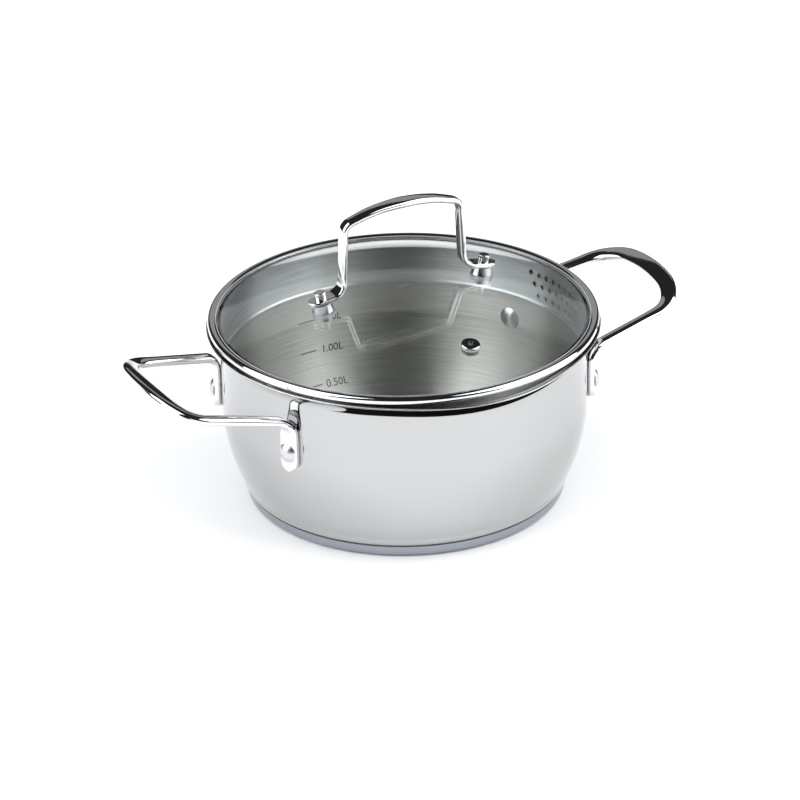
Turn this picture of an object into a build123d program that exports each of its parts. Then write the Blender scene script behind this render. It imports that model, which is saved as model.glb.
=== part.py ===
from build123d import *
import os
from math import cos, pi, radians, sin, sqrt

# A 20 cm belly-shaped casserole with two riveted loop handles, two pouring spouts
# and a glass lid whose steel skirt is pierced as a strainer. Millimetres, +Z up.
# Origin: centre of the base's underside. The side handles lie along X, the spouts along Y.

# ---- driving dimensions: pot ----
pot_inner_radius = 100.0
wall = 0.8
pot_outer_radius = pot_inner_radius + wall
belly_radius = 102.0            # profile arc of the belly
belly_top_z = 56.0              # where the belly becomes the straight wall
pot_floor_z = 6.2               # underside of the body's floor
floor_corner_radius = 4.0
straight_wall_top_z = 84.0      # revolved body ends and the flared rim starts
flare_start_z = 90.4
flare_radius = 8.0              # outer profile arc of the flare
flare_angle = 65.0              # how far the flare leans out from vertical
flare_leans = (22.0, 42.0, flare_angle)     # sections lofted through the flare
lip_length = 3.0                # straight end of the flare
lip_cut = 0.45                  # the lip's cut edge, measured level
spout_reach = 5.5               # how far each spout stands out beyond the round rim
spout_half_angle = 36.0
spout_direction = 90.0          # spouts at +90 and -90 degrees
spout_first_height = 2.2        # above the straight wall's top, where the spouts begin to swell
spout_first_share = 0.01        # share of the spout's reach there
spout_flare_share = 0.12        # share where the flare starts
spout_gain = 0.7                # share gained over the whole flare
rim_steps = 48

# ---- driving dimensions: encapsulated base ----
cap_radius = 88.2
cap_sheet = 0.6
cap_height = 6.9
cap_corner_radius = 3.0
core_clearance = 0.05
core_corner_easing = 0.1        # the core's corner is this much rounder than the cap's inside

# ---- driving dimensions: side handles and rivets ----
tab_angle = 26.0                # tabs sit this far either side of the X axis
tab_gap = 0.05                  # tab's inner face off the body's tangent line
tab_width = 11.0
tab_thickness = 4.2
tab_bottom_z = 50.8
tab_top_z = 72.0
rivet_z = 62.0
rivet_shank_radius = 2.0
rivet_hole_clearance = 0.05
rivet_hole_depth = 2.0          # the cut runs this far either side of the inner wall
rivet_outer_head_radius = 5.4
rivet_outer_head_height = 2.6
rivet_inner_head_radius = 6.2
rivet_inner_head_height = 2.2
rivet_inner_seat = 99.78        # back of the inner head, clear of the curved wall
tab_overlap = 3.0               # strap reaches this far down into the tab
arm_root_z = 79.8
side_handle_corners = ((144.6, 39.5, 91.0), (153.4, 25.4, 95.9))
side_handle_bends = (8, 18, 33)
grip_reach = 156.4
grip_z = 98.3
grip_bend = 110
loop_tilt = 22.0                # the grip's flat faces lean up outwards by this
side_handle_widths = ((0.0, 10.8), (0.03, 10.8), (0.1, 7.8), (0.28, 7.8), (0.38, 9.4), (0.5, 10.0))
side_handle_depths = ((0.0, 4.0), (0.03, 4.0), (0.1, 4.9), (0.3, 4.9), (0.5, 4.6))
twist_start = 0.03              # shares of the strap's length over which it turns from wall to level
twist_end = 0.1
strap_rounding = 0.32           # corner radius of a strap's section, as a share of its depth
tab_end_flat = 0.05             # keeps the tab's round end just short of a full half circle
side_handle_stations = 72

# ---- driving dimensions: lid ----
lid_radius = 107.3              # outside of the rolled steel ring
ring_bottom_z = 99.9
ring_height = 4.9
ring_sheet = 0.6
ring_top_lip_radius = 102.0
glass_edge_radius = 105.4
seal_sheet = 0.5
seal_lip_radius = 102.4
ring_nose_radius = 2.2
fit_gap = 0.06                  # seal to glass and seal to ring
dome_edge_radius = 101.4
dome_top_z = 121.0
glass_thickness = 3.0
band_outer_radius = 99.3
band_sheet = 0.45
band_bottom_z = 77.0
bead_radius = 0.9
bead_inset = 0.7                # bead's centre inside the band's outer face
hole_radius = 1.5
hole_pitch_angle = 3.67
hole_rows = ((94.6, 10), (88.5, 9), (82.4, 8))     # height, holes in the row
far_hole_radius = 2.4
far_hole_pitch_angle = 5.5
far_hole_rows = ((93.6, 7), (86.2, 6))
band_hole_depth = 2.0           # the cut runs this far either side of the band's outer face

# ---- driving dimensions: lid handle and its fixings ----
foot_offset = 48.7              # screws stand this far from the lid's centre
foot_reach = 7.5                # foot beyond the screw
foot_back = 13.0                # foot from the screw to the bend
riser_top_offset = 35.2
riser_top_z = 164.0
arch_shoulder_offset = 18.0
arch_shoulder_z = 169.2
arch_top_z = 170.6
spacer_height = 4.6
spacer_top_radius = 5.2
spacer_bottom_radius = 6.0
foot_thickness = 2.6
screw_shank_radius = 2.0
screw_head_radius = 3.2
screw_head_height = 4.0
glass_hole_radius = 3.0
shank_clearance = 0.04
dome_gap = 0.08                 # flat pieces clear the curved glass by this at their centre
washer_radius = 6.6
washer_thickness = 1.2
bush_collar_radius = 2.9
nut_radius = 5.4
nut_hub_radius = 3.6
nut_flange_height = 1.0
nut_height = 3.0
screw_head_softening = 0.6
screw_tip_rise = 0.4            # the screw ends this far inside the nut
lid_handle_bends = (8, 6, 80)
arch_bend = 110
lid_handle_widths = ((0.0, 9.4), (0.07, 10.0), (0.14, 7.6), (0.3, 7.6), (0.38, 8.8), (0.5, 10.4))
lid_handle_depths = ((0.0, 2.6), (0.085, 2.6), (0.14, 3.7), (0.3, 3.9), (0.5, 4.3))
lid_handle_stations = 60

# ---- driving dimensions: steam vent ----
vent_offset = 71.0
vent_direction = -87.0          # the vent sits nearly over the front spout
vent_flange_radius = 5.2
vent_flange_height = 1.6
vent_tube_radius = 2.9
vent_bore_radius = 1.9
vent_glass_hole_radius = 3.6
vent_backing_radius = 5.0
vent_backing_height = 1.0
vent_seal_radius = 5.6
vent_seal_height = 0.5
vent_curl_radius = 4.1
vent_curl_height = 0.8
vent_softening = 0.7

# ---- worked-out places ----
core_radius = cap_radius - cap_sheet - core_clearance
rim_outer_arc_centre = pot_outer_radius + flare_radius
lip_end_z = flare_start_z + flare_radius * sin(radians(flare_angle)) + lip_length * cos(radians(flare_angle))
lip_top_z = lip_end_z + wall * sin(radians(flare_angle))
lip_root_radius = rim_outer_arc_centre - flare_radius * cos(radians(flare_angle))
lip_radius = lip_root_radius + lip_length * sin(radians(flare_angle))
ring_inside_bottom_z = ring_bottom_z + ring_sheet
ring_top_z = ring_bottom_z + ring_height
ring_inside_top_z = ring_top_z - ring_sheet
glass_rim_bottom_z = ring_inside_bottom_z + seal_sheet + 2 * fit_gap
glass_rim_top_z = ring_inside_top_z - seal_sheet - 2 * fit_gap
dome_rise = dome_top_z - glass_rim_top_z
dome_radius = (dome_edge_radius ** 2 + dome_rise ** 2) / (2 * dome_rise)
dome_centre_z = dome_top_z - dome_radius
dome_inner_radius = dome_radius - glass_thickness
dome_inner_edge_radius = sqrt(dome_inner_radius ** 2 - (glass_rim_bottom_z - dome_centre_z) ** 2)

os.makedirs("parts", exist_ok=True)


def finish(part, name):
    """Label one finished piece and write its STEP file."""
    part.label = name
    export_step(part, f"parts/{name}.step")


def radial_plane(angle, height):
    """Plane with its X axis pointing outwards at this angle and its Y axis up."""
    outwards = Vector(cos(radians(angle)), sin(radians(angle)), 0)
    return Plane(origin=(0, 0, height), x_dir=outwards, z_dir=outwards.cross(Vector(0, 0, 1)))


def facing_plane(angle, radius, height):
    """Plane square to the radius at this angle, its X axis level and its Z axis outwards."""
    outwards = Vector(cos(radians(angle)), sin(radians(angle)), 0)
    sideways = Vector(-sin(radians(angle)), cos(radians(angle)), 0)
    return Plane(origin=outwards * radius + Vector(0, 0, height), x_dir=sideways, z_dir=outwards)


def glass_plane(x, y):
    """Plane that touches the glass dome from above at x, y, its X axis level or outwards."""
    reach = sqrt(x ** 2 + y ** 2)
    height = dome_centre_z + sqrt(dome_radius ** 2 - reach ** 2)
    normal = Vector(x, y, height - dome_centre_z).normalized()
    outwards = Vector(x, y, 0).normalized()
    sideways = Vector(0, 0, 1).cross(outwards)
    return Plane(origin=(x, y, height), x_dir=sideways.cross(normal), z_dir=normal)


def smooth_step(share):
    """Eases from 0 to 1."""
    share = min(max(share, 0), 1)
    return share * share * (3 - 2 * share)


def eased(share, keys):
    """Value at share, eased between (share, value) keys."""
    for (start, first), (end, last) in zip(keys, keys[1:]):
        if share <= end:
            return first + (last - first) * smooth_step((share - start) / (end - start))
    return keys[-1][1]


def rim_point(radius, spout_share, angle):
    """Point on one level of the rim, pushed outwards near the two spouts."""
    off_spout = abs((angle - spout_direction + 90) % 180 - 90)
    swell = cos(pi / 2 * min(off_spout / spout_half_angle, 1)) ** 2
    reach = radius + spout_reach * spout_share * swell
    return (reach * cos(radians(angle)), reach * sin(radians(angle)))


def rim_levels(offset):
    """Heights, radii and spout shares of the flared rim's surface, offset inwards from outside."""
    centre = rim_outer_arc_centre
    arc = flare_radius + offset
    straight = pot_outer_radius - offset
    levels = [(straight_wall_top_z + spout_first_height, straight, spout_first_share),
              (flare_start_z, straight, spout_flare_share)]
    for lean in flare_leans:
        height = flare_start_z + arc * sin(radians(lean))
        radius = centre - arc * cos(radians(lean))
        levels.append((height, radius, spout_flare_share + spout_gain * lean / flare_angle))
    return levels


def rim_loft(bottom_radius, levels, mode):
    """Loft from the round wall through the levels of the rim."""
    with BuildSketch(Plane.XY.offset(straight_wall_top_z)) as bottom:
        Circle(bottom_radius)
    faces = [bottom.sketch.face()]
    for height, radius, share in levels:
        with BuildSketch(Plane.XY.offset(height)) as level:
            with BuildLine():
                turns = [360 * step / rim_steps for step in range(rim_steps)]
                Spline(*[rim_point(radius, share, turn) for turn in turns], periodic=True)
            make_face()
        faces.append(level.sketch.face())
    loft(faces, mode=mode)


# ---- pot body: drawn shell, flared rim with two spouts, four rivet holes ----
belly_centre_r = pot_outer_radius - belly_radius
corner_centre_z = pot_floor_z + floor_corner_radius
corner_easing = 1.0             # the corner's bend ends this far above its centre


def belly_reach(height, offset):
    """Radius of the belly's surface at this height, offset inwards from the outside."""
    return belly_centre_r + sqrt((belly_radius - offset) ** 2 - (belly_top_z - height) ** 2)


def shell_outline(offset, top_z):
    """Closed half profile of the body's shape, offset inwards from the outside."""
    floor_z = pot_floor_z + offset
    corner_top_z = corner_centre_z + corner_easing
    corner_r = belly_reach(corner_top_z, offset)
    floor_r = corner_r - floor_corner_radius
    straight_r = pot_outer_radius - offset
    middle_z = (corner_top_z + belly_top_z) / 2
    belly_middle = (belly_reach(middle_z, offset), middle_z)
    Line((0, floor_z), (floor_r, floor_z))
    down_the_belly = (belly_top_z - corner_top_z, corner_r - belly_centre_r)
    TangentArc((corner_r, corner_top_z), (floor_r, floor_z), tangent=(-down_the_belly[0], -down_the_belly[1]))
    ThreePointArc((corner_r, corner_top_z), belly_middle, (straight_r, belly_top_z))
    Polyline((straight_r, belly_top_z), (straight_r, top_z), (0, top_z), (0, floor_z))


with BuildPart() as pot_body:
    with BuildSketch(Plane.XZ):
        with BuildLine():
            shell_outline(0, straight_wall_top_z)
        make_face()
    revolve(axis=Axis.Z)
    outer_levels = rim_levels(0) + [(lip_end_z, lip_radius, 1), (lip_top_z, lip_radius, 1)]
    rim_loft(pot_outer_radius, outer_levels, Mode.ADD)
    with BuildSketch(Plane.XZ):
        with BuildLine():
            shell_outline(wall, straight_wall_top_z)
        make_face()
    revolve(axis=Axis.Z, mode=Mode.SUBTRACT)
    inner_lip = lip_radius - lip_cut
    overshoot = 1.0
    over_lip = inner_lip + overshoot * sin(radians(flare_angle)) / cos(radians(flare_angle))
    inner_levels = rim_levels(wall) + [(lip_top_z, inner_lip, 1), (lip_top_z + overshoot, over_lip, 1)]
    rim_loft(pot_inner_radius, inner_levels, Mode.SUBTRACT)
    for tab_turn in (tab_angle, -tab_angle, 180 - tab_angle, 180 + tab_angle):
        with BuildSketch(facing_plane(tab_turn, pot_inner_radius, rivet_z)):
            Circle(rivet_shank_radius + rivet_hole_clearance)
        extrude(amount=rivet_hole_depth, both=True, mode=Mode.SUBTRACT)
finish(pot_body.part, "pot_body")


# ---- encapsulated base: aluminium disc inside a pressed steel cap ----
with BuildPart() as base_core:
    with BuildSketch(Plane.XY.offset(cap_sheet)):
        Circle(core_radius)
    extrude(amount=pot_floor_z - cap_sheet)
    bottom_edge = base_core.edges().group_by(Axis.Z)[0]
    fillet(bottom_edge, cap_corner_radius - cap_sheet + core_corner_easing)
finish(base_core.part, "base_core")

with BuildPart() as base_cap:
    with BuildSketch(Plane.XZ):
        with BuildLine():
            bend_r = cap_radius - cap_corner_radius
            inner_r = cap_radius - cap_sheet
            Line((0, 0), (bend_r, 0))
            TangentArc((bend_r, 0), (cap_radius, cap_corner_radius), tangent=(1, 0))
            Polyline((cap_radius, cap_corner_radius), (cap_radius, cap_height), (inner_r, cap_height),
                     (inner_r, cap_corner_radius))
            TangentArc((inner_r, cap_corner_radius), (bend_r, cap_sheet), tangent=(0, -1))
            Polyline((bend_r, cap_sheet), (0, cap_sheet), (0, 0))
        make_face()
    revolve(axis=Axis.Z)
finish(base_cap.part, "base_cap")


# ---- straps: side handles and lid handle are bars whose section changes along a bent path ----
def strap(path, stations, widths, depths, across_at):
    """Loft of rounded rectangles along the path; widths and depths go from the ends to the middle."""
    faces = []
    for station in range(stations + 1):
        share = station / stations
        from_end = min(share, 1 - share)
        point = path @ share
        along = path % share
        across = across_at(point, along, share)
        across = (across - along * across.dot(along)).normalized()
        width = eased(from_end, widths)
        depth = eased(from_end, depths)
        with BuildSketch(Plane(origin=point, x_dir=across, z_dir=along)) as section:
            RectangleRounded(width, depth, depth * strap_rounding)
        faces.append(section.sketch.face())
    loft(faces, ruled=True)


loop_normal = Vector(-sin(radians(loop_tilt)), 0, cos(radians(loop_tilt)))


def side_handle_across(point, along, share):
    """Direction across the side handle's strap: along the wall at the tabs, in the leaning loop beyond."""
    tab_turn = radians(tab_angle if point.Y > 0 else -tab_angle)
    way = 1 if share < 0.5 else -1
    at_tab = Vector(-sin(tab_turn), cos(tab_turn), 0) * way
    turned = smooth_step((min(share, 1 - share) - twist_start) / (twist_end - twist_start))
    if turned == 0:
        return at_tab
    in_loop = loop_normal.cross(along).normalized()
    return at_tab * (1 - turned) + in_loop * turned


def side_handle_path():
    """Centre line of the strap for the handle on +X, from tab to tab round the grip."""
    tab_reach = pot_outer_radius + tab_gap + tab_thickness / 2
    tab_x = tab_reach * cos(radians(tab_angle))
    tab_y = tab_reach * sin(radians(tab_angle))
    half = [(tab_x, tab_y, tab_top_z - tab_overlap), (tab_x, tab_y, arm_root_z), *side_handle_corners]
    middle = (grip_reach, 0, grip_z)
    other_half = [(x, -y, z) for x, y, z in reversed(half)]
    bends = [*side_handle_bends, grip_bend, *reversed(side_handle_bends)]
    return FilletPolyline(*half, middle, *other_half, radius=bends)


def handle_tab(angle):
    """Flat tab with a round lower end, standing on the pot's wall, pierced for its rivet."""
    plane = facing_plane(angle, pot_outer_radius + tab_gap, 0)
    with BuildPart() as tab:
        with BuildSketch(plane):
            with Locations((0, (tab_bottom_z + tab_top_z) / 2)):
                Rectangle(tab_width, tab_top_z - tab_bottom_z)
            fillet(vertices().group_by(Axis.Y)[0], tab_width / 2 - tab_end_flat)
            with Locations((0, rivet_z)):
                Circle(rivet_shank_radius + rivet_hole_clearance, mode=Mode.SUBTRACT)
        extrude(amount=tab_thickness)
    return tab.part


def side_handle(turn, name):
    """The handle at this turn about Z: strap and two tabs in one piece."""
    tabs = [handle_tab(tab_angle), handle_tab(-tab_angle)]
    with BuildLine() as centre_line:
        side_handle_path()
    path = centre_line.wires()[0]
    with BuildPart() as handle:
        strap(path, side_handle_stations, side_handle_widths, side_handle_depths, side_handle_across)
        add(tabs)
    finish(handle.part.rotate(Axis.Z, turn), name)


side_handle(0, "right_side_handle")
side_handle(180, "left_side_handle")


# ---- rivets: domed head inside the pot, domed head on the tab ----
def rivet(angle, name):
    """One solid rivet through the wall and a handle tab."""
    inside = rivet_inner_seat
    outside = pot_outer_radius + tab_gap + tab_thickness
    plane = radial_plane(angle, rivet_z)
    with BuildPart() as pin:
        with BuildSketch(plane):
            with BuildLine():
                inner_tip = (inside - rivet_inner_head_height, 0)
                outer_tip = (outside + rivet_outer_head_height, 0)
                TangentArc(inner_tip, (inside, rivet_inner_head_radius), tangent=(0, 1))
                Polyline((inside, rivet_inner_head_radius), (inside, rivet_shank_radius),
                         (outside, rivet_shank_radius), (outside, rivet_outer_head_radius))
                TangentArc(outer_tip, (outside, rivet_outer_head_radius), tangent=(0, 1))
                Line(outer_tip, inner_tip)
            make_face()
        revolve(axis=Axis(plane.origin, plane.x_dir))
    finish(pin.part, name)


rivet(-tab_angle, "right_front_rivet")
rivet(tab_angle, "right_back_rivet")
rivet(180 + tab_angle, "left_front_rivet")
rivet(180 - tab_angle, "left_back_rivet")


# ---- lid glass: low dome with a flat rim, pierced for the handle screws and the vent ----
right_foot = glass_plane(foot_offset, 0)
left_foot = glass_plane(-foot_offset, 0)
vent_x = vent_offset * cos(radians(vent_direction))
vent_y = vent_offset * sin(radians(vent_direction))
vent_place = glass_plane(vent_x, vent_y)

with BuildPart() as lid_glass:
    with BuildSketch(Plane.XZ):
        with BuildLine():
            TangentArc((0, dome_top_z), (dome_edge_radius, glass_rim_top_z), tangent=(1, 0))
            Polyline((dome_edge_radius, glass_rim_top_z), (glass_edge_radius, glass_rim_top_z),
                     (glass_edge_radius, glass_rim_bottom_z), (dome_inner_edge_radius, glass_rim_bottom_z))
            underside_top = (0, dome_top_z - glass_thickness)
            TangentArc(underside_top, (dome_inner_edge_radius, glass_rim_bottom_z), tangent=(1, 0))
            Line(underside_top, (0, dome_top_z))
        make_face()
    revolve(axis=Axis.Z)
    for place, radius in ((right_foot, glass_hole_radius), (left_foot, glass_hole_radius),
                          (vent_place, vent_glass_hole_radius)):
        with BuildSketch(place):
            Circle(radius)
        extrude(amount=2 * glass_thickness, both=True, mode=Mode.SUBTRACT)
finish(lid_glass.part, "lid_glass")


# ---- rolled steel ring round the glass ----
def channel_outline(inset):
    """Outside of the ring's channel, or a line the inset distance inside it."""
    nose_r = ring_nose_radius - inset
    nose_start = lid_radius - ring_nose_radius
    low = ring_bottom_z + inset
    high = ring_top_z - inset
    reach = lid_radius - inset
    TangentArc((nose_start, low), (reach, low + nose_r), tangent=(1, 0))
    Line((reach, low + nose_r), (reach, high - nose_r))
    TangentArc((reach, high - nose_r), (nose_start, high), tangent=(0, 1))
    return (nose_start, low), (nose_start, high)


with BuildPart() as lid_rim_ring:
    with BuildSketch(Plane.XZ):
        with BuildLine():
            outer_low, outer_high = channel_outline(0)
            inner_low, inner_high = channel_outline(ring_sheet)
            Polyline(outer_high, (ring_top_lip_radius, ring_top_z),
                     (ring_top_lip_radius, ring_inside_top_z), inner_high)
            Polyline(outer_low, (band_outer_radius, ring_bottom_z),
                     (band_outer_radius, ring_inside_bottom_z), inner_low)
        make_face()
    revolve(axis=Axis.Z)
finish(lid_rim_ring.part, "lid_rim_ring")


# ---- silicone seal between the glass edge and the ring ----
with BuildPart() as glass_edge_seal:
    with BuildSketch(Plane.XZ):
        with BuildLine():
            low_z = ring_inside_bottom_z + fit_gap
            high_z = ring_inside_top_z - fit_gap
            upper_lip_z = glass_rim_top_z + fit_gap
            lower_lip_z = glass_rim_bottom_z - fit_gap
            back_r = glass_edge_radius + fit_gap
            outer_r = lid_radius - ring_sheet - fit_gap
            bevel = ring_nose_radius - ring_sheet - fit_gap
            Polyline((outer_r - bevel, low_z), (outer_r, low_z + bevel), (outer_r, high_z - bevel),
                     (outer_r - bevel, high_z), (seal_lip_radius, high_z), (seal_lip_radius, upper_lip_z),
                     (back_r, upper_lip_z), (back_r, lower_lip_z), (seal_lip_radius, lower_lip_z),
                     (seal_lip_radius, low_z), (outer_r - bevel, low_z))
        make_face()
    revolve(axis=Axis.Z)
finish(glass_edge_seal.part, "glass_edge_seal")


# ---- strainer band: steel skirt welded to the ring, rolled lower edge, pierced at both ends of X ----
with BuildPart() as strainer_band:
    with BuildSketch(Plane.XZ):
        bead_centre_z = band_bottom_z + bead_radius
        with Locations(((band_outer_radius - band_sheet / 2), (bead_centre_z + ring_inside_bottom_z) / 2)):
            Rectangle(band_sheet, ring_inside_bottom_z - bead_centre_z)
        with Locations((band_outer_radius - bead_inset, bead_centre_z)):
            Circle(bead_radius)
    revolve(axis=Axis.Z)
    for middle, radius, pitch, rows in ((0, hole_radius, hole_pitch_angle, hole_rows),
                                        (180, far_hole_radius, far_hole_pitch_angle, far_hole_rows)):
        for row_z, count in rows:
            for index in range(count):
                hole_turn = middle + (index - (count - 1) / 2) * pitch
                with BuildSketch(facing_plane(hole_turn, band_outer_radius, row_z)):
                    Circle(radius)
                extrude(amount=band_hole_depth, both=True, mode=Mode.SUBTRACT)
finish(strainer_band.part, "strainer_band")


# ---- lid handle: bent strap with both feet on the glass ----
def foot_point(plane, side, outwards):
    """Point on the strap's centre line over the glass, outwards from the screw."""
    height = spacer_height + foot_thickness / 2
    local = plane.from_local_coords((outwards, 0, height))
    return (side * abs(local.X), 0, local.Z)


def lid_handle_path():
    """Centre line of the strap from foot to foot over the arch."""
    half = [foot_point(right_foot, 1, foot_reach), foot_point(right_foot, 1, -foot_back),
            (riser_top_offset, 0, riser_top_z), (arch_shoulder_offset, 0, arch_shoulder_z)]
    other_half = [(-x, y, z) for x, y, z in reversed(half)]
    return FilletPolyline(*half, (0, 0, arch_top_z), *other_half,
                          radius=[*lid_handle_bends, arch_bend, *reversed(lid_handle_bends)])


with BuildLine() as lid_handle_line:
    lid_handle_path()

with BuildPart() as lid_handle:
    strap(lid_handle_line.wires()[0], lid_handle_stations, lid_handle_widths, lid_handle_depths,
          lambda point, along, share: Vector(0, 1, 0))
    for place in (right_foot, left_foot):
        with BuildSketch(place.offset(spacer_height)):
            Circle(screw_shank_radius + shank_clearance)
        extrude(amount=2 * foot_thickness, both=True, mode=Mode.SUBTRACT)
finish(lid_handle.part, "lid_handle")


# ---- fixings of the lid handle, the same at both feet ----
def turned_piece(place, name, discs, bore, softened=0):
    """Piece turned about a place's normal: discs as (low, high, radius), then bored through."""
    with BuildPart() as piece:
        for low, high, radius in discs:
            with BuildSketch(place.offset(low)):
                Circle(radius)
            extrude(amount=high - low)
        if softened:
            top_face = piece.faces().filter_by(GeomType.PLANE).sort_by(Axis(place.origin, place.z_dir))[-1]
            fillet(top_face.edges(), softened)
        if bore:
            low = min(disc[0] for disc in discs)
            high = max(disc[1] for disc in discs)
            with BuildSketch(place.offset(low)):
                Circle(bore)
            extrude(amount=high - low, mode=Mode.SUBTRACT)
    finish(piece.part, name)


foot_top = spacer_height + foot_thickness + dome_gap
bush_top = -glass_thickness - dome_gap
nut_top = bush_top - washer_thickness
nut_bottom = nut_top - nut_height
screw_bore = screw_shank_radius + shank_clearance
for place, side_name in ((right_foot, "right"), (left_foot, "left")):
    turned_piece(place, f"{side_name}_handle_screw",
                 [(nut_bottom + screw_tip_rise, foot_top, screw_shank_radius),
                  (foot_top, foot_top + screw_head_height, screw_head_radius)], 0, screw_head_softening)
    turned_piece(place, f"{side_name}_glass_bush",
                 [(nut_top, bush_top, washer_radius), (bush_top, 0, bush_collar_radius)], screw_bore)
    turned_piece(place, f"{side_name}_retaining_nut",
                 [(nut_top - nut_flange_height, nut_top, nut_radius), (nut_bottom, nut_top, nut_hub_radius)],
                 screw_bore)
    with BuildPart() as foot_spacer:
        with BuildSketch(place):
            Circle(spacer_bottom_radius)
        with BuildSketch(place.offset(spacer_height)):
            Circle(spacer_top_radius)
        loft()
        with BuildSketch(place):
            Circle(screw_bore)
        extrude(amount=spacer_height, mode=Mode.SUBTRACT)
    finish(foot_spacer.part, f"{side_name}_foot_spacer")


# ---- steam vent: eyelet, seal and backing washer in the glass ----
seal_top = dome_gap + vent_seal_height
backing_top = -glass_thickness - dome_gap
backing_bottom = backing_top - vent_backing_height
vent_tube_bore = vent_tube_radius + shank_clearance
turned_piece(vent_place, "steam_vent_eyelet",
             [(backing_bottom, seal_top, vent_tube_radius),
              (backing_bottom - vent_curl_height, backing_bottom, vent_curl_radius),
              (seal_top, seal_top + vent_flange_height, vent_flange_radius)],
             vent_bore_radius, vent_softening)
turned_piece(vent_place, "steam_vent_seal",
             [(dome_gap, seal_top, vent_seal_radius),
              (bush_top, dome_gap, vent_glass_hole_radius - dome_gap)],
             vent_tube_bore)
turned_piece(vent_place, "steam_vent_backing_washer",
             [(backing_bottom, backing_top, vent_backing_radius)], vent_tube_bore)
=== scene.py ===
import math

import bmesh
import bpy
from mathutils import Matrix, Vector


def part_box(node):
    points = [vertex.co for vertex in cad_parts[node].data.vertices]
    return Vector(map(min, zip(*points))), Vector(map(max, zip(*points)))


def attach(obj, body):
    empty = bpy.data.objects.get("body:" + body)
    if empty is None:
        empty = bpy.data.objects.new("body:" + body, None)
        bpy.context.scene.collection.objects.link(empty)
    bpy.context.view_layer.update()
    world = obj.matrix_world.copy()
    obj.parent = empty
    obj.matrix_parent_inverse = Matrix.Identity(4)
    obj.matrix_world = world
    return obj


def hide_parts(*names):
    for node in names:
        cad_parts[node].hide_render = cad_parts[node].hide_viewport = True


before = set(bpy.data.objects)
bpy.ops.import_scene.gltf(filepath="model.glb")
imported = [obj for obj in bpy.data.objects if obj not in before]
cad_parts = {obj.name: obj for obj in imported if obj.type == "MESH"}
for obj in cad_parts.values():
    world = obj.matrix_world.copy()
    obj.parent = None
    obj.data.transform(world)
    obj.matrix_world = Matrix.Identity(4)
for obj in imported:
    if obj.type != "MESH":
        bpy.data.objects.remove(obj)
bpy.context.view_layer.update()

MM = 0.001

# ---- the pot and lid's sizes, in millimetres; what the frame holds is read from it ----
pot_low = Vector(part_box("pot_body")[0]) / MM
cap_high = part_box("base_cap")[1][2] / MM
cap_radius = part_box("base_cap")[1][0] / MM
ring_low, ring_high = (corner / MM for corner in map(Vector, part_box("lid_rim_ring")))
glass_high = Vector(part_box("lid_glass")[1]) / MM
band_high = Vector(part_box("strainer_band")[1]) / MM

WALL = 0.8
POT_RADIUS = 100.8                  # outside of the straight wall
BELLY_RADIUS = 102.0
BELLY_TOP = 56.0
FLOOR_CORNER = 4.0
SPOUT_START = 84.0
FLARE_START = 90.4
FLARE_RADIUS = 8.0
FLARE_ANGLE = 65.0
LIP_LENGTH = 3.0
SPOUT_REACH = 5.5
SPOUT_HALF_ANGLE = 36.0
LIP_CUT = 0.35                      # kept off the lip's straight end for its round edge
FLARE_SHARE = 0.12                  # share of the spout's reach where the flare starts
FLARE_GAIN = 0.7                    # share gained over the flare; the lip adds the rest
CORNER_RISE = 1.0                   # the floor's corner ends this far above its centre
FLOOR_RINGS = (0, 20, 45, 65, 78)   # radii of the mesh's rings across the floor
TURNS = 384                         # segments round the pot and the lid
CORNER_STEPS = 8                    # segments up each part of the pot's wall
BELLY_STEPS = 40
WALL_STEPS = 7
NECK_STEPS = 6
FLARE_STEPS = 18
LIP_STEPS = 4
EDGE_STEPS = 8                      # segments round the lip's edge

FINE_EDGES = 32                     # edges sharper than this, in degrees, shade as edges
SOFT_EDGES = 60

POT = "pot"
LID = "lid"


# ---- mesh helpers ----
def make_object(name, bm, materials, sharp_angle=FINE_EDGES):
    """Object in metres from a bmesh in millimetres, smooth except at sharp edges."""
    bmesh.ops.recalc_face_normals(bm, faces=bm.faces)
    for vertex in bm.verts:
        vertex.co *= MM
    mesh = bpy.data.meshes.new(name)
    bm.to_mesh(mesh)
    bm.free()
    for material in materials:
        mesh.materials.append(material)
    for face in mesh.polygons:
        face.use_smooth = True
    mesh.set_sharp_from_angle(angle=math.radians(sharp_angle))
    piece = bpy.data.objects.new(name, mesh)
    bpy.context.scene.collection.objects.link(piece)
    return piece


def lathe(bm, outline, turns=TURNS, reach=None, material=None):
    """Turns a closed outline of (radius, height) round Z; points on the axis become one vertex."""
    rings = []
    for index, (radius, height) in enumerate(outline):
        if radius < 1e-6:
            rings.append([bm.verts.new((0, 0, height))])
            continue
        ring = []
        for turn in range(turns):
            angle = 2 * math.pi * turn / turns
            length = reach(index, angle) if reach else radius
            ring.append(bm.verts.new((length * math.cos(angle), length * math.sin(angle), height)))
        rings.append(ring)
    for index, ring in enumerate(rings):
        following = rings[(index + 1) % len(rings)]
        if len(ring) == 1 and len(following) == 1:
            continue
        for turn in range(turns):
            onward = (turn + 1) % turns
            corners = [ring[turn % len(ring)], following[turn % len(following)],
                       following[onward % len(following)], ring[onward % len(ring)]]
            corners = list(dict.fromkeys(corners))
            face = bm.faces.new(corners)
            if material:
                face.material_index = material(index)
    return rings


def arc(centre, radius, start, end, steps):
    """Points on an arc, angles in degrees from the outwards direction."""
    points = []
    for step in range(steps + 1):
        angle = math.radians(start + (end - start) * step / steps)
        points.append((centre[0] + radius * math.cos(angle), centre[1] + radius * math.sin(angle)))
    return points


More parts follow.
